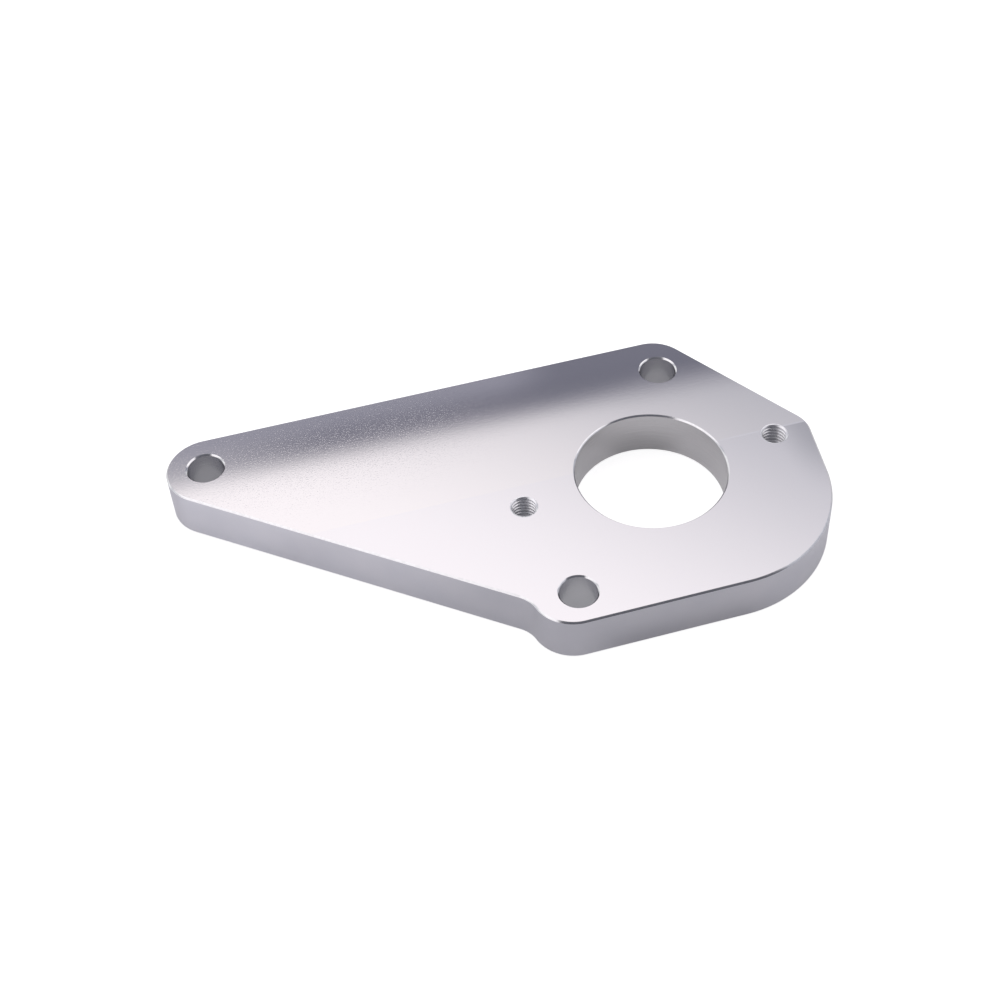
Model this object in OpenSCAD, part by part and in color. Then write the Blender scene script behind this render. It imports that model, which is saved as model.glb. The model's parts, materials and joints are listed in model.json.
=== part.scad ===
// Power steering bracket: a flat aluminium plate that bolts to the engine and carries the pump.
// The origin is the centre of the pump bore on the back face, and the plate's thickness is along +Z.
// The two tapped holes that hold the pump lie on the X axis.

/* [Plate] */
// Thickness of the plate
plate_t = 15; // [8:0.5:25]
// Bevel along the outline, on both faces
edge_break = 0.5; // [0.2:0.1:1]

/* [Pump seat] */
// Diameter of the bore that clears the nose of the pump
pump_bore_d = 44.5; // [36:0.5:50]
// Bevel round both mouths of the pump bore
pump_bore_bevel = 0.6; // [0.2:0.1:1]
// Distance between the two tapped holes
pump_bolt_spacing = 78.8; // [72:0.2:84]
// Outside diameter of the pump bolts' thread
thread_d = 8; // [6:1:10]
// Pitch of the pump bolts' thread
thread_pitch = 1.25; // [1:0.25:1.5]
// Bevel round both mouths of a tapped hole, past the thread's outside diameter
thread_bevel = 0.1; // [0.05:0.05:0.5]

/* [Engine bolt holes] */
// Diameter of the three clearance holes
bolt_hole_d = 10.8; // [8.4:0.2:13]
// Bevel round both mouths of a clearance hole
bolt_hole_bevel = 0.6; // [0.2:0.1:1]
// Far hole, along X from the pump bore
far_hole_x = -121.8; // [-140:0.2:-100]
// Far hole, along Y from the pump bore
far_hole_y = 49; // [40:0.2:60]
// Upper hole, along X from the pump bore
upper_hole_x = 18.2; // [12:0.2:22]
// Upper hole, along Y from the pump bore
upper_hole_y = 38; // [34:0.2:46]
// Lower hole, along X from the pump bore
lower_hole_x = -36.2; // [-42:0.2:-32]
// Lower hole, along Y from the pump bore
lower_hole_y = -34.8; // [-42:0.2:-30]

/* [Corners] */
// Radius of the corner at the far hole
far_corner_r = 12.6; // [10:0.1:16]
// Centre of the far corner, along X from its hole
far_corner_dx = 0.8; // [-2:0.1:2]
// Centre of the far corner, along Y from its hole
far_corner_dy = -0.9; // [-2:0.1:2]
// Radius of the corner at the upper hole
upper_corner_r = 11.5; // [10:0.1:16]
// Centre of the upper corner, along X from its hole
upper_corner_dx = -0.9; // [-2:0.1:2]
// Centre of the upper corner, along Y from its hole
upper_corner_dy = 1.4; // [-2:0.1:2]
// Radius of the corner at the lower hole
lower_corner_r = 12.2; // [10:0.1:16]
// Centre of the lower corner, along X from its hole
lower_corner_dx = -1; // [-2:0.1:2]
// Centre of the lower corner, along Y from its hole
lower_corner_dy = 1.6; // [-2:0.1:2]
// Radius of the corner at the right tapped hole
side_corner_r = 9.9; // [8:0.1:14]
// Centre of the side corner, along X from the right tapped hole
side_corner_dx = 1.2; // [-1:0.1:3]
// Radius of the large round end below the pump bore
end_r = 36.5; // [34:0.5:42]
// Centre of the large round end, along X from the pump bore
end_x = 11.4; // [6:0.2:14]
// Centre of the large round end, along Y from the pump bore
end_y = -12.2; // [-18:0.2:-8]
// How far the lower corner stands out past the straight edge that comes from the far corner
lower_corner_step = 4.3; // [2:0.1:8]
// Radius of the hollow that blends that edge into the lower corner
hollow_r = 9; // [5:0.5:20]

/* [Hidden] */
$fn = 96;

// A cutter reaches this far past the face it cuts
past = 1;
// The rim that carries the bevel is this wide, measured in from the outline
rim = 2 * (edge_break + past);
// Straight rims lie this much inside the rounds that they touch, so that the surfaces cross cleanly
hair = 0.002;
// Each round turns this many degrees past the straight rims beside it
lap = 3;
// A tapping drill is this much wider than the thread's outside diameter less its pitch
tap_drill_allowance = 0.05;
// The tapped holes are drawn at the size of the tapping drill
tap_drill_d = thread_d - thread_pitch + tap_drill_allowance;

// Places of the holes
far_hole = [far_hole_x, far_hole_y];
upper_hole = [upper_hole_x, upper_hole_y];
lower_hole = [lower_hole_x, lower_hole_y];
left_tapped = [-pump_bolt_spacing / 2, 0];
right_tapped = [pump_bolt_spacing / 2, 0];

// Each rounded corner as [centre, radius]
far_corner = [far_hole + [far_corner_dx, far_corner_dy], far_corner_r];
upper_corner = [upper_hole + [upper_corner_dx, upper_corner_dy], upper_corner_r];
lower_corner = [lower_hole + [lower_corner_dx, lower_corner_dy], lower_corner_r];
side_corner = [right_tapped + [side_corner_dx, 0], side_corner_r];
round_end = [[end_x, end_y], end_r];
// The straight edge from the far corner would touch this smaller round inside the lower corner
step_round = [lower_corner[0], lower_corner_r - lower_corner_step];

function unit(a) = [cos(a), sin(a)];

// Outward direction of the straight edge that touches two rounds, going counter-clockwise
function edge_normal(a, b) =
    let (v = b[0] - a[0])
    atan2(v.y, v.x) - acos((a[1] - b[1]) / norm(v));

// Point of a round in direction n, moved in from the outline by the given depth
function rim_point(corner, n, depth = 0) = corner[0] + (corner[1] - depth) * unit(n);

// Outward directions of the five straight edges, in counter-clockwise order from the far corner
front_n = edge_normal(far_corner, step_round);
lower_n = edge_normal(lower_corner, round_end);
side_n = edge_normal(round_end, side_corner);
slant_n = edge_normal(side_corner, upper_corner);
back_n = edge_normal(upper_corner, far_corner);

// The hollow touches the front edge from outside and the lower corner's round
hollow_reach = lower_corner_r + hollow_r;
hollow_n = front_n - acos((hollow_reach - lower_corner_step) / hollow_reach);
hollow_centre = lower_corner[0] + hollow_reach * unit(hollow_n);
front_end = hollow_centre - hollow_r * unit(front_n);

// Section of the rim, from the metal at x = inner to the outline at x = outer.
// Its bevels run on past both faces of the plate, where the stock's thickness cuts them off.
module rim_section(inner, outer) {
    tip = outer - edge_break - past;
    polygon([
        [inner, -past], [tip, -past], [outer, edge_break],
        [outer, plate_t - edge_break], [tip, plate_t + past], [inner, plate_t + past]
    ]);
}

// Straight rim from p to q, which lie on the outline in counter-clockwise order, facing direction n
module straight_rim(p, q, n) {
    translate(q - hair * unit(n))
        rotate(n)
            rotate([90, 0, 0])
                linear_extrude(norm(q - p))
                    rim_section(-rim, 0);
}

// Rounded corner between two outward directions, filled in to its centre
module round_rim(corner, n_from, n_to) {
    sweep = (n_to - n_from + 720) % 360;
    translate(corner[0])
        rotate(n_from - lap)
            rotate_extrude(angle = sweep + 2 * lap)
                rim_section(0, corner[1]);
}

// Round cutter through the plate, with a bevel at each mouth
module through_cut(p, r, bevel) {
    reach = bevel + 2 * past;
    translate(p) {
        translate([0, 0, -2 * past])
            cylinder(r = r, h = plate_t + 4 * past);
        translate([0, 0, -2 * past])
            cylinder(r1 = r + reach, r2 = r, h = reach);
        translate([0, 0, plate_t - bevel])
            cylinder(r1 = r, r2 = r + reach, h = reach);
    }
}

// Upright block of the given outline, taller than the plate
module block(points) {
    translate([0, 0, -past])
        linear_extrude(plate_t + 2 * past)
            polygon(points);
}

// The flat middle, which laps the inner side of the straight rims and reaches the corners' centres
module core() {
    depth = rim - edge_break;
    block([
        far_corner[0],
        rim_point(far_corner, front_n, depth), front_end - depth * unit(front_n),
        lower_corner[0],
        rim_point(lower_corner, lower_n, depth), rim_point(round_end, lower_n, depth),
        round_end[0],
        rim_point(round_end, side_n, depth), rim_point(side_corner, side_n, depth),
        side_corner[0],
        rim_point(side_corner, slant_n, depth), rim_point(upper_corner, slant_n, depth),
        upper_corner[0],
        rim_point(upper_corner, back_n, depth), rim_point(far_corner, back_n, depth)
    ]);
}

// Metal between the front edge and the lower corner, cut out to the hollow's round
module hollow_web() {
    difference() {
        block([
            hollow_centre, lower_corner[0],
            front_end - lower_corner_r * unit(front_n), front_end
        ]);
        through_cut(hollow_centre, hollow_r + 2 * hair, edge_break);
    }
}

// The flat stock that the plate is cut from, with room round the far corner
module stock() {
    reach = norm(far_corner[0]) + 2 * far_corner_r;
    linear_extrude(plate_t)
        square(2 * reach, center = true);
}

module straight_rims() {
    straight_rim(rim_point(far_corner, front_n), front_end + rim * unit(front_n + 90), front_n);
    for (edge = [
        [lower_corner, round_end, lower_n], [round_end, side_corner, side_n],
        [side_corner, upper_corner, slant_n], [upper_corner, far_corner, back_n]
    ])
        straight_rim(rim_point(edge[0], edge[2]), rim_point(edge[1], edge[2]), edge[2]);
}

module round_rims() {
    round_rim(lower_corner, hollow_n, lower_n);
    round_rim(round_end, lower_n, side_n);
    round_rim(side_corner, side_n, slant_n);
    round_rim(upper_corner, slant_n, back_n);
    round_rim(far_corner, back_n, front_n);
}

module bracket_plate() {
    tapped_bevel = (thread_d - tap_drill_d) / 2 + thread_bevel;
    color("silver")
        difference() {
            intersection() {
                union() {
                    core();
                    hollow_web();
                    straight_rims();
                    round_rims();
                }
                stock();
            }
            through_cut([0, 0], pump_bore_d / 2, pump_bore_bevel);
            for (p = [left_tapped, right_tapped])
                through_cut(p, tap_drill_d / 2, tapped_bevel);
            for (p = [far_hole, upper_hole, lower_hole])
                through_cut(p, bolt_hole_d / 2, bolt_hole_bevel);
        }
}

bracket_plate();
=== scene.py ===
import json
import math

import bmesh
import bpy
import numpy as np
from mathutils import Matrix, Vector
from mathutils.geometry import delaunay_2d_cdt


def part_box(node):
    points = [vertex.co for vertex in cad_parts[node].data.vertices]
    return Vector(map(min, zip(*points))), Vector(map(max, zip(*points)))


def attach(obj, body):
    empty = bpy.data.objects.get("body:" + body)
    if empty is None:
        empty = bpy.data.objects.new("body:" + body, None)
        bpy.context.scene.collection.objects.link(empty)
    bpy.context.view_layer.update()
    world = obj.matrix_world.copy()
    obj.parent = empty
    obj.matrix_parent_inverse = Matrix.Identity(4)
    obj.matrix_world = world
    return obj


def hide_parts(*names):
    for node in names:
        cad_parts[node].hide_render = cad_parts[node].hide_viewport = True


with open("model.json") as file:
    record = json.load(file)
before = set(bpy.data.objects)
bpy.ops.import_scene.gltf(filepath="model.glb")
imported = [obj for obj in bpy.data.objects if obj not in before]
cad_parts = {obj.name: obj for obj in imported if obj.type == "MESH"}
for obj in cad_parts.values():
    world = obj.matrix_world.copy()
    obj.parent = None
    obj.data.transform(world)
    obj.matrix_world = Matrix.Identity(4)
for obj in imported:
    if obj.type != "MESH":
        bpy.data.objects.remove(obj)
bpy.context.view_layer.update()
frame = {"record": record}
mm = 0.001


# The plate
# One piece of aluminium plate, 15 mm thick. Both faces are face-milled and lightly blasted, the outline
# is cut with the side of an end mill, the bore and the bolt holes are bored, the pump's two holes are
# tapped, and a small bevel breaks every edge. Lengths are in millimetres until the mesh is made.

plate_bottom, plate_top = (corner[2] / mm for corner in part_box("bracket_plate"))
edge_break = 0.5
pump_bore_bevel = 0.45
bolt_hole_bevel = 0.45
thread_r = 4.0
thread_pitch = 1.25
thread_bevel = 0.1
lip_width = 0.4
lip_depth = 0.1

mounts = {mount["name"]: mount for mount in frame["record"]["mounts"]}


def hole_place(name):
    """Plan position of a hole of the frame."""
    return np.array(mounts[name]["pos_m"][:2]) / mm


def hole_radius(name):
    """Radius of a hole of the frame."""
    return mounts[name]["dims"]["r_mm"]


def unit(angle):
    """Unit vectors in plan: (cos angle, sin angle), for one angle or an array of them, in degrees."""
    return np.stack([np.cos(np.radians(angle)), np.sin(np.radians(angle))], axis=-1)


def edge_normal(a, b):
    """Outward direction of the straight edge that touches rounds a and b, going counter-clockwise.

    With v from centre to centre it is the angle of v less acos((radius a - radius b) / length of v).
    """
    v = b[0] - a[0]
    return math.degrees(math.atan2(v[1], v[0]) - math.acos((a[1] - b[1]) / np.hypot(*v)))


# Each round of the outline as (centre, radius). Centres stand a little off their holes.
far_corner = (hole_place("far_bolt_hole") + (0.8, -0.9), 12.6)
upper_corner = (hole_place("upper_bolt_hole") + (-0.9, 1.4), 11.5)
lower_corner = (hole_place("lower_bolt_hole") + (-1.0, 1.6), 12.2)
side_corner = (hole_place("right_pump_thread") + (1.2, 0.0), 9.9)
round_end = (np.array([11.4, -12.2]), 36.5)
lower_corner_step = 4.3
hollow_r = 9.0

front_n = edge_normal(far_corner, (lower_corner[0], lower_corner[1] - lower_corner_step))
lower_n = edge_normal(lower_corner, round_end)
side_n = edge_normal(round_end, side_corner)
slant_n = edge_normal(side_corner, upper_corner)
back_n = edge_normal(upper_corner, far_corner)

# The hollow touches the front edge from outside, and the lower corner's round
hollow_reach = lower_corner[1] + hollow_r
hollow_n = front_n - math.degrees(math.acos((hollow_reach - lower_corner_step) / hollow_reach))
hollow = (lower_corner[0] + hollow_reach * unit(hollow_n), -hollow_r)


def outline_path(degrees_a_step=1.5):
    """The outline, counter-clockwise, as points and outward normals.

    Each round gives centre + radius * unit(n) for directions n from one straight edge's normal to the
    next one's. The hollow has a negative radius and turns the other way.
    """
    turns = [(far_corner, back_n, front_n), (hollow, front_n, hollow_n), (lower_corner, hollow_n, lower_n),
             (round_end, lower_n, side_n), (side_corner, side_n, slant_n), (upper_corner, slant_n, back_n)]
    points, normals = [], []
    for (centre, radius), start, end in turns:
        turn = (end - start) % 360 if radius > 0 else -((start - end) % 360)
        steps = math.ceil(abs(turn) / degrees_a_step) + 1
        normal = unit(start + np.linspace(0, turn, steps))
        points.append(centre + radius * normal)
        normals.append(normal)
    points.append(points[0][:1])
    normals.append(normals[0][:1])
    return np.concatenate(points), np.concatenate(normals)


def hole_path(centre, radius, steps):
    """A hole's wall, clockwise, as points and normals that face its axis: centre + radius * unit(angle)."""
    away = unit(np.linspace(360, 0, steps + 1))
    return centre + radius * away, -away


def beveled_profile(bevel, steps=4, crown=0.03):
    """Section through the thickness as (inset, height), with a bevel at each face.

    Along a bevel, s runs from 0 to 1: inset = bevel * (1 - s) - bulge and height = bevel * s - bulge,
    where bulge = crown * bevel * sin(pi * s) / sqrt(2), so that the bevel is a little rounded.
    """
    s = np.linspace(0, 1, steps + 1)
    bulge = crown * bevel * np.sin(math.pi * s) / math.sqrt(2)
    lower = np.stack([bevel * (1 - s) - bulge, plate_bottom + bevel * s - bulge], axis=1)
    upper = lower[::-1] * (1, -1) + (0, plate_bottom + plate_top)
    return np.concatenate([lower, upper])


def carry(points, normals, profile):
    """The profile carried along a path: path point - inset * normal in plan, at the profile's height."""
    plan = points[:, None] - profile[None, :, :1] * normals[:, None]
    height = np.broadcast_to(profile[None, :, 1:], plan.shape[:2] + (1,))
    return np.concatenate([plan, height], axis=2)


def tapped_wall(centre, columns=96, rows_a_turn=16):
    """The wall of a tapped hole, clockwise, as a grid over angle and height.

    The radius is that of a right-hand thread, whose phase is height / pitch - angle / 360: it is the
    outside radius within an eighth of a pitch of the root, then falls along flanks of 30 degrees to the
    radius of the drilled hole. Where the mouth's bevel is wider, its radius holds: at depth d it is
    mouth - lip_width * sqrt(1 - (1 - d / lip_depth)^2), a worn lip, and falls at 45 degrees below that.
    Rows follow the helix, and some at the lips are level. All are kept between the plate's faces.
    """
    angle = np.linspace(360, 0, columns + 1)[:, None]
    turns = math.ceil((plate_top - plate_bottom) / thread_pitch)
    row = np.arange(-rows_a_turn, turns * rows_a_turn + 1) / rows_a_turn
    helical = plate_bottom + thread_pitch * (row + angle / 360)
    lip_rows = lip_depth * np.array([0.03, 0.12, 0.3, 0.6, 1.0])
    lips = np.concatenate([plate_bottom + lip_rows, plate_top - lip_rows])
    level = np.broadcast_to(lips, (columns + 1, len(lips)))
    height = np.sort(np.concatenate([helical, level], axis=1).clip(plate_bottom, plate_top), axis=1)

    phase = (height - plate_bottom) / thread_pitch - angle / 360
    off_root = np.abs(phase - np.round(phase)) * thread_pitch
    flank = thread_r - (off_root - thread_pitch / 8) / math.tan(math.radians(30))
    thread = np.clip(flank, hole_radius("right_pump_thread"), thread_r)
    depth = np.minimum(height - plate_bottom, plate_top - height)
    left_of_lip = np.clip(1 - depth / lip_depth, 0, 1)
    below_lip = np.maximum(depth - lip_depth, 0)
    bevel = thread_r + thread_bevel - lip_width * np.sqrt(1 - left_of_lip ** 2) - below_lip
    radius = np.maximum(thread, bevel)
    plan = centre + radius[..., None] * unit(angle)
    return np.concatenate([plan, height[..., None]], axis=2)


FACE, SIDE, BEVEL, BORE, DRILLED, THREAD = range(6)
mesh_points, mesh_faces, mesh_finish, mesh_travel = [], [], [], []
lower_rings, upper_rings = [], []


def add_surface(points, faces, finish, travel):
    """Adds points, faces that index them, one finish a face and (along, up) in metres for each point."""
    offset = sum(len(p) for p in mesh_points)
    mesh_points.append(points)
    mesh_faces.extend((faces + offset).tolist())
    mesh_finish.append(finish)
    mesh_travel.append(travel)


def add_wall(grid, strip_finish):
    """Adds a grid of quads, which face the right of its path, and keeps its two end rings for the faces."""
    columns, rows = grid.shape[:2]
    index = np.arange(columns * rows).reshape(columns, rows)
    quads = np.stack([index[:-1, :-1], index[1:, :-1], index[1:, 1:], index[:-1, 1:]], axis=-1)
    middle = grid[:, rows // 2]
    along = np.concatenate([[0], np.cumsum(np.linalg.norm(np.diff(middle, axis=0), axis=1))])
    travel = np.stack([np.broadcast_to(along[:, None], (columns, rows)), grid[..., 2]], axis=-1) * mm
    finish = np.broadcast_to(strip_finish, (columns - 1, rows - 1))
    add_surface(grid.reshape(-1, 3), quads.reshape(-1, 4), finish.ravel(), travel.reshape(-1, 2))
    lower_rings.append(grid[:-1, 0])
    upper_rings.append(grid[:-1, -1])


def add_face(rings, facing):
    """Fills the flat area inside the first ring and outside the others with Delaunay triangles.

    The triangulation tells for each triangle which rings hold it, and the metal's lie in ring 0 alone.
    It wants every ring counter-clockwise, so those of the holes are turned. facing is 1 for up, -1 for down.
    """
    points = np.concatenate(rings)
    starts = np.cumsum([0] + [len(ring) for ring in rings])
    loops = [list(range(a, b))[::1 if a == 0 else -1] for a, b in zip(starts[:-1], starts[1:])]
    filled = delaunay_2d_cdt([Vector(p[:2]) for p in points], [], loops, 1, 1e-6)
    made, source, holders = filled[2], filled[3], filled[5]
    metal_faces = [face for face, holder in zip(made, holders) if list(holder) == [0]]
    triangles = np.array([[source[k][0] for k in face] for face in metal_faces])
    a, b, c = (points[triangles[:, k], :2] for k in range(3))
    turn = (b[:, 0] - a[:, 0]) * (c[:, 1] - a[:, 1]) - (b[:, 1] - a[:, 1]) * (c[:, 0] - a[:, 0])
    triangles = np.where((turn * facing > 0)[:, None], triangles, triangles[:, ::-1])
    add_surface(points, triangles, np.full(len(triangles), FACE), points[:, :2] * mm)


def strips(profile, wall_finish):
    """Finish of each strip of a beveled profile: bevels, with the straight wall between them."""
    finish = np.full(len(profile) - 1, BEVEL)
    finish[len(profile) // 2 - 1] = wall_finish
    return finish


rim = beveled_profile(edge_break)
add_wall(carry(*outline_path(), rim), strips(rim, SIDE))
bore = beveled_profile(pump_bore_bevel)
add_wall(carry(*hole_path(hole_place("pump_bore"), hole_radius("pump_bore"), 240), bore), strips(bore, BORE))
for name in ("far_bolt_hole", "upper_bolt_hole", "lower_bolt_hole"):
    section = beveled_profile(bolt_hole_bevel)
    add_wall(carry(*hole_path(hole_place(name), hole_radius(name), 120), section), strips(section, DRILLED))
for name in ("left_pump_thread", "right_pump_thread"):
    add_wall(tapped_wall(hole_place(name)), THREAD)
add_face(upper_rings, 1)
add_face(lower_rings, -1)


def plate_mesh():
    """One closed mesh of all surfaces, with doubled points merged and sharp edges where finishes meet."""
    mesh = bpy.data.meshes.new("bracket_plate_milled")
    mesh.from_pydata((np.concatenate(mesh_points) * mm).tolist(), [], mesh_faces)
    mesh.polygons.foreach_set("material_index", np.concatenate(mesh_finish).astype(np.int32))
    corner_point = np.empty(len(mesh.loops), np.int32)
    mesh.loops.foreach_get("vertex_index", corner_point)
    travel = mesh.uv_layers.new(name="travel")
    travel.uv.foreach_set("vector", np.concatenate(mesh_travel)[corner_point].ravel().astype(np.float32))

    merged = bmesh.new()
    merged.from_mesh(mesh)
    bmesh.ops.remove_doubles(merged, verts=merged.verts, dist=1e-6)
    merged.to_mesh(mesh)
    merged.free()

    edge = np.empty(len(mesh.loops), np.int32)
    corners = np.empty(len(mesh.polygons), np.int32)
    finish = np.empty(len(mesh.polygons), np.int32)
    mesh.loops.foreach_get("edge_index", edge)
    mesh.polygons.foreach_get("loop_total", corners)
    mesh.polygons.foreach_get("material_index", finish)
    lowest = np.full(len(mesh.edges), THREAD + 1)
    highest = np.full(len(mesh.edges), -1)
    np.minimum.at(lowest, edge, np.repeat(finish, corners))
    np.maximum.at(highest, edge, np.repeat(finish, corners))
    mesh.polygons.foreach_set("use_smooth", np.ones(len(mesh.polygons), bool))
    sharp = mesh.attributes.new("sharp_edge", "BOOLEAN", "EDGE")
    sharp.data.foreach_set("value", lowest != highest)
    mesh.update()
    return mesh


class Shade:
    """A socket of a shader tree. Arithmetic on it adds Math nodes, so that a formula reads as Python."""

    def __init__(self, tree, socket=None):
        self.tree = tree
        self.socket = socket

    def node(self, kind, settings=None, inputs=None, output=0):
        """Adds one node: its type, then its settings, then the values or links of its sockets."""
        made = self.tree.nodes.new("ShaderNode" + kind)
        for name, value in (settings or {}).items():
            setattr(made, name, value)
        for name, value in (inputs or {}).items():
            if isinstance(value, Shade):
                self.tree.links.new(value.socket, made.inputs[name])
            else:
                made.inputs[name].default_value = value
        return Shade(self.tree, made.outputs[output] if made.outputs else None)

    def math(self, operation, a, b):
        return self.node("Math", {"operation": operation}, {0: a, 1: b})

    def __add__(self, other):
        return self.math("ADD", self, other)

    def __sub__(self, other):
        return self.math("SUBTRACT", self, other)

    def __rsub__(self, other):
        return self.math("SUBTRACT", other, self)

    def __mul__(self, other):
        return self.math("MULTIPLY", self, other)

    def __truediv__(self, other):
        return self.math("DIVIDE", self, other)

    __radd__ = __add__
    __rmul__ = __mul__

    def above(self, low, high):
        """0 below low, 1 above high, and a smooth step between."""
        return self.node("MapRange", {"interpolation_type": "SMOOTHSTEP"},
                         {"Value": self, "From Min": low, "From Max": high})

    def blend(self, a, b):
        """Colour a where this mask is 0, and colour b where it is 1."""
        return self.node("Mix", {"data_type": "RGBA"}, {0: self, 6: a, 7: b}, output=2)


def new_material(name):
    """An empty material and its tree."""
    made = bpy.data.materials.new(name)
    made.use_nodes = True
    made.node_tree.nodes.clear()
    return made, Shade(made.node_tree)


def metal(shade, colour, roughness, height):
    """Bare metal. The height is in metres, so the bump's distance is 1."""
    normal = shade.node("Bump", None, {"Height": height, "Distance": 1.0})
    surface = shade.node("BsdfPrincipled", None, {
        "Base Color": colour, "Metallic": 1.0, "Roughness": roughness, "Normal": normal,
    })
    shade.node("OutputMaterial", None, {"Surface": surface})


def milled_face():
    """Both flat faces: two passes of the face mill, which meet on one line, under a fine blasted grain.

    The line is y = pass_slope * x + pass_offset. On the right, a pale stroke is painted along it, a painted
    highlight on the real line, and a darker patch of painted shade lies below it. The blasting left its
    specks at the far end.
    """
    pass_slope = -0.0735
    pass_offset = 5.2 * mm
    upper_pass = (0.82, 0.795, 0.805, 1)
    lower_pass = (0.805, 0.785, 0.808, 1)
    # Painted shade: the darker tone of a patch on the face's right.
    darker_patch_painted_shade = (0.60, 0.59, 0.615, 1)
    # Painted highlight: the pale tone along the line where the passes meet.
    line_painted_highlight = (0.84, 0.825, 0.85, 1)
    material, shade = new_material("milled_face")
    place = shade.node("TexCoord", output="Object")
    x = shade.node("SeparateXYZ", None, {0: place}, output="X")
    y = shade.node("SeparateXYZ", None, {0: place}, output="Y")
    past_line = y - x * pass_slope - pass_offset
    upper = past_line.above(-0.1 * mm, 0.1 * mm)
    colour = upper.blend(lower_pass, upper_pass)
    # The mask below paints shade: a darker patch on the face's right, below the pass line.
    worn = x.above(37 * mm, 50 * mm) * y.above(-30 * mm, -5 * mm) * (1 - upper)
    colour = worn.blend(colour, darker_patch_painted_shade)
    # Painted highlight: a pale stroke along the real pass line, towards the right.
    on_line_highlight = past_line.above(-0.5 * mm, -0.1 * mm) * (1 - past_line.above(0, 0.5 * mm))
    colour = (on_line_highlight * x.above(18 * mm, 30 * mm)).blend(colour, line_painted_highlight)
    grain = shade.node("TexNoise", None, {"Vector": place, "Scale": 1500.0, "Detail": 3.0, "Roughness": 0.6})
    along_pass = shade.node("Mapping", None, {
        "Vector": place, "Rotation": (0, 0, -math.atan(pass_slope)), "Scale": (50, 1100, 1),
    })
    streaks = shade.node("TexNoise", None, {"Vector": along_pass, "Scale": 1.0, "Detail": 2.0})
    specks = shade.node("TexNoise", None, {"Vector": place, "Scale": 2600.0, "Detail": 1.0}).above(0.55, 0.85)
    blasted = specks * (1 - x.above(-65 * mm, -10 * mm))
    metal(shade, colour, 0.04 + grain * 0.02, grain * 0.8e-6 + streaks * 0.2e-6 + blasted * 2.2e-6)
    return material


def milled_side():
    """The outline's wall: upright marks left by the side of an end mill, with a faint blue-grey tone."""
    material, shade = new_material("milled_side")
    travel = shade.node("UVMap", {"uv_map": "travel"})
    upright = shade.node("Mapping", None, {"Vector": travel, "Scale": (1500, 40, 1)})
    marks = shade.node("TexNoise", None, {"Vector": upright, "Scale": 1.0, "Detail": 3.0})
    patches = shade.node("TexNoise", None, {"Vector": travel, "Scale": 60.0, "Detail": 2.0})
    colour = patches.above(0.3, 0.7).blend((0.75, 0.745, 0.82, 1), (0.79, 0.78, 0.85, 1))
    metal(shade, colour, 0.28 + marks * 0.08, marks * 4e-6)
    return material


def ringed_wall(name, dark, pale):
    """A bored or drilled wall: fine rings left by the tool, in two tones."""
    material, shade = new_material(name)
    travel = shade.node("UVMap", {"uv_map": "travel"})
    level = shade.node("Mapping", None, {"Vector": travel, "Scale": (40, 5000, 1)})
    rings = shade.node("TexNoise", None, {"Vector": level, "Scale": 1.0, "Detail": 3.0})
    metal(shade, rings.above(0.3, 0.7).blend(dark, pale), 0.22 + rings * 0.08, rings * 2e-6)
    return material


def bored_wall():
    """The pump bore, which is dull."""
    return ringed_wall("bored_wall", (0.70, 0.69, 0.715, 1), (0.77, 0.755, 0.78, 1))


def drilled_wall():
    """The bolt holes, a little brighter."""
    return ringed_wall("drilled_wall", (0.66, 0.66, 0.70, 1), (0.72, 0.715, 0.75, 1))


def cut_bevel():
    """The bevels: bright narrow cuts with a faint chatter."""
    material, shade = new_material("cut_bevel")
    place = shade.node("TexCoord", output="Object")
    chatter = shade.node("TexNoise", None, {"Vector": place, "Scale": 900.0, "Detail": 2.0})
    colour = chatter.above(0.3, 0.7).blend((0.78, 0.78, 0.80, 1), (0.86, 0.86, 0.88, 1))
    metal(shade, colour, 0.16 + chatter * 0.06, chatter * 4e-6)
    return material


def cut_thread():
    """The threads: bright flanks with fine marks along the helix."""
    material, shade = new_material("cut_thread")
    place = shade.node("TexCoord", output="Object")
    torn = shade.node("TexNoise", None, {"Vector": place, "Scale": 2500.0, "Detail": 2.0})
    colour = torn.above(0.3, 0.7).blend((0.78, 0.78, 0.81, 1), (0.86, 0.86, 0.89, 1))
    metal(shade, colour, 0.26 + torn * 0.08, torn * 2e-6)
    return material


plate = bpy.data.objects.new("bracket_plate_milled", plate_mesh())
bpy.context.scene.collection.objects.link(plate)
for finish in (milled_face, milled_side, cut_bevel, bored_wall, drilled_wall, cut_thread):
    plate.data.materials.append(finish())
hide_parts("bracket_plate")
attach(plate, "root")


# The floor
# A white studio table, which isn't part of the object. To the camera and in reflections it glows a little,
# so that it reads as white, and the light that falls on it carries the plate's soft shadow. On top of that,
# shade and light are painted on it by place: painted shade before the plate's middle, a painted contact
# shadow along the plate's lower wall and painted shade under the bore's far wall. Painted light makes it
# paler behind the plate, and its glow in reflections is painted stronger before the plate and far to the
# left.

floor_radius = 3.0
# Painted light and shade: the table's tone and its glow in reflections differ before and behind the plate and
# far to the left.
mirrored_far = 0.2
mirrored_near = 0.37
painted_glow_far_left = 0.08
table_far = 0.55
table_near = 0.46
light_on_table = 0.4
view_azimuth = math.radians(16.99)
floor_gap = 0.05 * mm


def inside_circle(right, ahead, centre, inner, outer):
    """1 within the inner radius of a centre, 0 past the outer one: radius squared is right^2 + ahead^2."""
    across = right - centre[0]
    along = ahead - centre[1]
    return 1 - (across * across + along * along).above(inner ** 2, outer ** 2)


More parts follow.
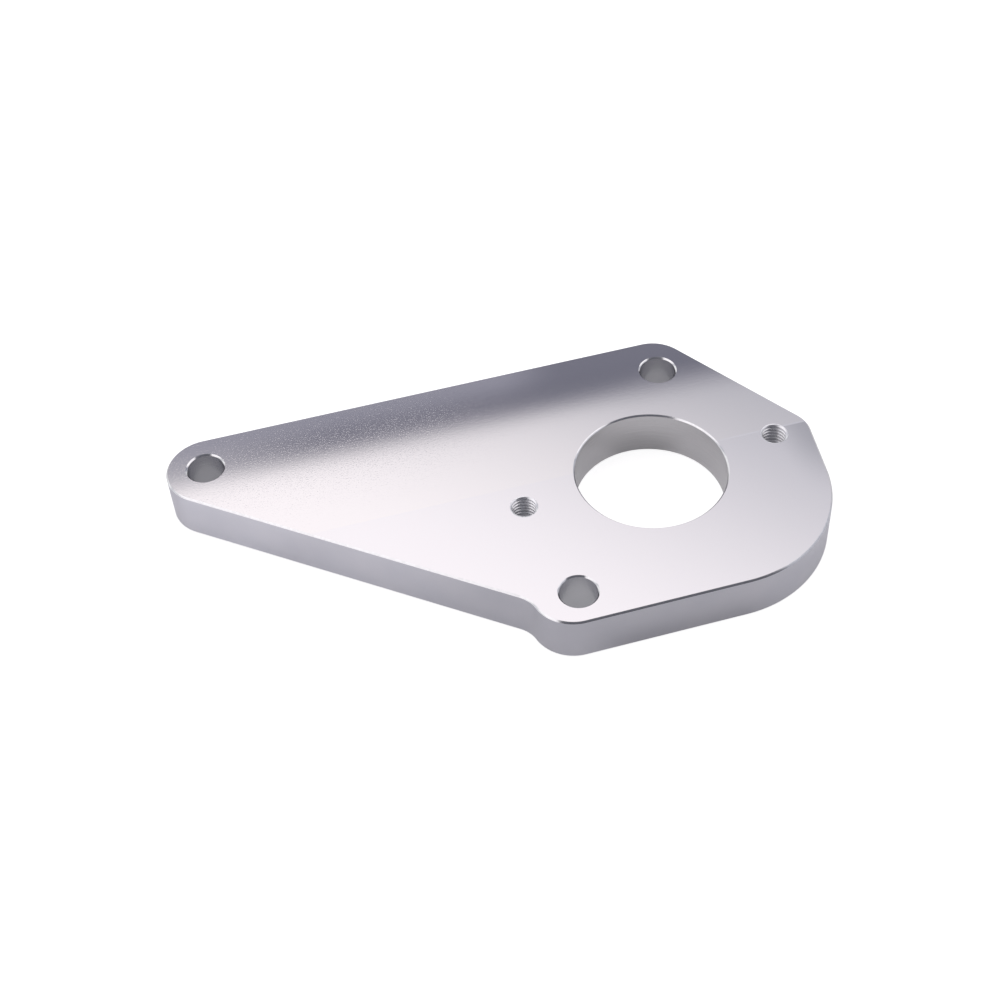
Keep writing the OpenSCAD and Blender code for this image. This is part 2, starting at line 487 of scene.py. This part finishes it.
def table_with_painted_light_and_shade():
    """A matt surface, plus a glow that brings it up to plain white for camera rays, and a weak glow in
    reflections and glass. Places on it are lengths ahead of the pump bore, along view_azimuth, and right.

    Shade and light are painted on it by place: it is paler behind the plate than before it, painted shade
    lies before the plate's middle but not under the lower hole, a painted contact shadow lies where the
    plate touches it, and painted shade lies under the bore's far wall. Its glow in reflections is painted
    by place as well.
    """
    material, shade = new_material("table_with_painted_light_and_shade")
    place = shade.node("TexCoord", output="Object")
    x, y = (shade.node("SeparateXYZ", None, {0: place}, output=axis) for axis in "XY")
    ahead = x * math.sin(view_azimuth) + y * math.cos(view_azimuth)
    # This mask sets painted light: a paler table and a weaker glow in reflections behind the plate.
    behind = ahead.above(-75 * mm, 15 * mm)
    right = x * math.cos(view_azimuth) - y * math.sin(view_azimuth)
    # Painted shade: before the plate's middle but lifted under the lower hole, a contact shadow along the
    # lower wall, and shade under the bore's far wall.
    middle = right.above(-100 * mm, -50 * mm) * (1 - right.above(45 * mm, 75 * mm)) * (1 - behind)
    no_painted_shade_under_hole = inside_circle(right, ahead, (-24.4 * mm, -43.9 * mm), 5 * mm, 8 * mm)
    painted_contact_shadow = right.above(-25 * mm, -8 * mm) * (1 - right.above(20 * mm, 40 * mm))
    painted_contact_shadow = painted_contact_shadow * (ahead - 0.232 * right).above(-59 * mm, -50 * mm) * (1 - ahead.above(-20 * mm, 0))
    painted_shade_under_bore_wall = inside_circle(right, ahead, (0, 22 * mm), 3 * mm, 11 * mm)
    # The painted shade darkens both the table's tone and its glow in reflections.
    painted_shade_factor = (1 - 0.33 * middle * (1 - no_painted_shade_under_hole)) * (1 - 0.25 * painted_contact_shadow) * (1 - 0.25 * painted_shade_under_bore_wall)
    albedo = (table_near + behind * (table_far - table_near)) * painted_shade_factor
    matt = shade.node("BsdfDiffuse", None, {"Color": albedo})
    seen = shade.node("LightPath", output="Is Camera Ray")
    mirrored = (shade.node("LightPath", output="Is Glossy Ray")
                + shade.node("LightPath", output="Is Transmission Ray"))
    missing = 1 - light_on_table * albedo
    # Painted light: a stronger glow in reflections far to the left, and a glow that differs before and behind
    # the plate.
    painted_light_far_left = (1 - right.above(-125 * mm, -105 * mm)) * (1 - ahead.above(-4 * mm, 6 * mm))
    mirrored_glow = mirrored_near + behind * (mirrored_far - mirrored_near) + painted_glow_far_left * painted_light_far_left
    strength = seen * missing + mirrored * mirrored_glow * painted_shade_factor
    glow = shade.node("Emission", None, {"Color": (1, 1, 1, 1), "Strength": strength})
    shade.node("OutputMaterial", None, {"Surface": shade.node("AddShader", None, {0: matt, 1: glow})})
    return material


def disc_mesh(radius, height, steps=96):
    """A flat disc: radius * (cos angle, sin angle) at one height."""
    rim_points = np.concatenate([radius * unit(np.linspace(0, 360, steps + 1)[:-1]),
                                 np.full((steps, 1), height)], axis=1)
    mesh = bpy.data.meshes.new("table")
    mesh.from_pydata(rim_points.tolist(), [], [list(range(steps))])
    return mesh


table = bpy.data.objects.new("table", disc_mesh(floor_radius, plate_bottom * mm - floor_gap))
bpy.context.scene.collection.objects.link(table)
table.data.materials.append(table_with_painted_light_and_shade())


# The light
# A studio of soft panels at a plain level. A wide white panel hangs overhead and ends in a straight edge
# behind the plate. The room behind it is dim, and so is the place from which the picture is taken.

panel_white = (1.2, 1.165, 1.185, 1)
panel_far_right = (0.52, 0.53, 0.585, 1)
panel_low_left = (0.72, 0.72, 0.75, 1)
panel_edge = 0.995
panel_edge_softness = 0.014
room_dim = (0.172, 0.177, 0.228, 1)
room_left = (0.56, 0.56, 0.62, 1)
room_beside = (0.44, 0.44, 0.49, 1)
room_middle = (0.175, 0.178, 0.23, 1)
room_far = (0.345, 0.35, 0.42, 1)
camera_gap_dark = (0.13, 0.13, 0.15, 1)
camera_gap_left = (0.35, 0.35, 0.37, 1)
camera_gap_right = (0.22, 0.22, 0.25, 1)
backdrop_white = (1, 1, 1, 1)


def studio_world():
    """Brightness by direction, on a level plane overhead: right and ahead are the direction's level parts,
    seen from the camera's azimuth, over its upward part.

    On that plane the panel ends in a straight line behind the plate, ahead = panel_edge + 0.21 * right,
    and fades to the right and low on both sides. Past the line is the room, paler on the left and far
    out. A dark wedge opens from overhead towards the camera, and a white backdrop stands far behind.
    """
    world = bpy.data.worlds.new("studio")
    world.use_nodes = True
    world.node_tree.nodes.clear()
    shade = Shade(world.node_tree)
    direction = shade.node("TexCoord", output="Generated")
    x, y, z = (shade.node("SeparateXYZ", None, {0: direction}, output=axis) for axis in "XYZ")
    up = shade.math("MAXIMUM", z, 0.02)
    right = (x * math.cos(view_azimuth) - y * math.sin(view_azimuth)) / up
    ahead = (x * math.sin(view_azimuth) + y * math.cos(view_azimuth)) / up

    past_edge = ahead - 0.21 * right - panel_edge
    wider_on_right = 1 - 0.35 * right.above(0.07, 0.13)
    past_panel = (past_edge * wider_on_right).above(-panel_edge_softness, panel_edge_softness)
    right_lamp = right.above(0.9, 1.3)
    far_right_fade = (right + 1.36 * ahead).above(1.04, 1.74) * (1 - right_lamp)
    camera_gap = ((right - 0.63 * ahead).above(-0.25, -0.1)
                  * (1 - (right + 1.86 * ahead).above(-0.2, 0.05)))
    panel = far_right_fade.blend(panel_white, panel_far_right)
    room = right.above(-0.95, -0.3).blend(room_left, room_beside)
    room = right.above(-0.28, -0.12).blend(room, room_middle)
    room = right.above(0, 0.06).blend(room, room_dim)
    lift = past_edge.above(0.023, 0.045) * (1 - 0.8 * right.above(0, 0.06))
    room = lift.blend(room, room_far)
    studio = past_panel.blend(panel, room)
    studio = (right - 1.5 * ahead).above(2.3, 2.8).blend(studio, panel_far_right)
    low_left = 1 - right.above(-2.8, -1.8)
    studio = low_left.blend(studio, panel_low_left)
    studio = right.above(3, 5).blend(studio, panel_far_right)
    gap_grey = right.above(0.05, 0.15).blend(camera_gap_left, camera_gap_right)
    studio = camera_gap.blend(studio, ahead.above(-0.9, -0.5).blend(camera_gap_dark, gap_grey))
    backdrop = ahead.above(1.3, 1.7) * (1 - (right - 0.6 * ahead).above(0.3, 0.9))
    studio = backdrop.blend(studio, backdrop_white)
    seen = shade.node("LightPath", output="Is Camera Ray").blend(studio, backdrop_white)
    background = shade.node("Background", None, {"Color": seen, "Strength": 1.0})
    shade.node("OutputWorld", None, {"Surface": background})
    return world


bpy.context.scene.world = studio_world()
bpy.context.scene.view_settings.view_transform = "Standard"


# The camera
# It looks down on the plate from its lower side, rolled a little, so that the plate's right side hangs.

camera_target = Vector((-42.99, 11.43, 7.5)) * mm
camera_distance = 498.5 * mm
camera_elevation = math.radians(47.8)
camera_roll = math.radians(-3.406)
camera_lens = 61.10
camera_sensor = 36.0


def camera_axes():
    """Right, up and backward: the level right and up for the azimuth and elevation, turned by the roll."""
    level = math.cos(camera_elevation)
    ahead = Vector((
        level * math.sin(view_azimuth), level * math.cos(view_azimuth), -math.sin(camera_elevation),
    ))
    level_right = Vector((math.cos(view_azimuth), -math.sin(view_azimuth), 0))
    level_up = level_right.cross(ahead)
    right = math.cos(camera_roll) * level_right + math.sin(camera_roll) * level_up
    return right, right.cross(ahead), -ahead


lens = bpy.data.cameras.new("camera")
lens.sensor_width = camera_sensor
lens.lens = camera_lens
lens.clip_start = 0.01
camera = bpy.data.objects.new("camera", lens)
bpy.context.scene.collection.objects.link(camera)
axes = camera_axes()
turn = Matrix(axes).transposed().to_4x4()
camera.matrix_world = Matrix.Translation(camera_target + camera_distance * axes[2]) @ turn
bpy.context.scene.camera = camera
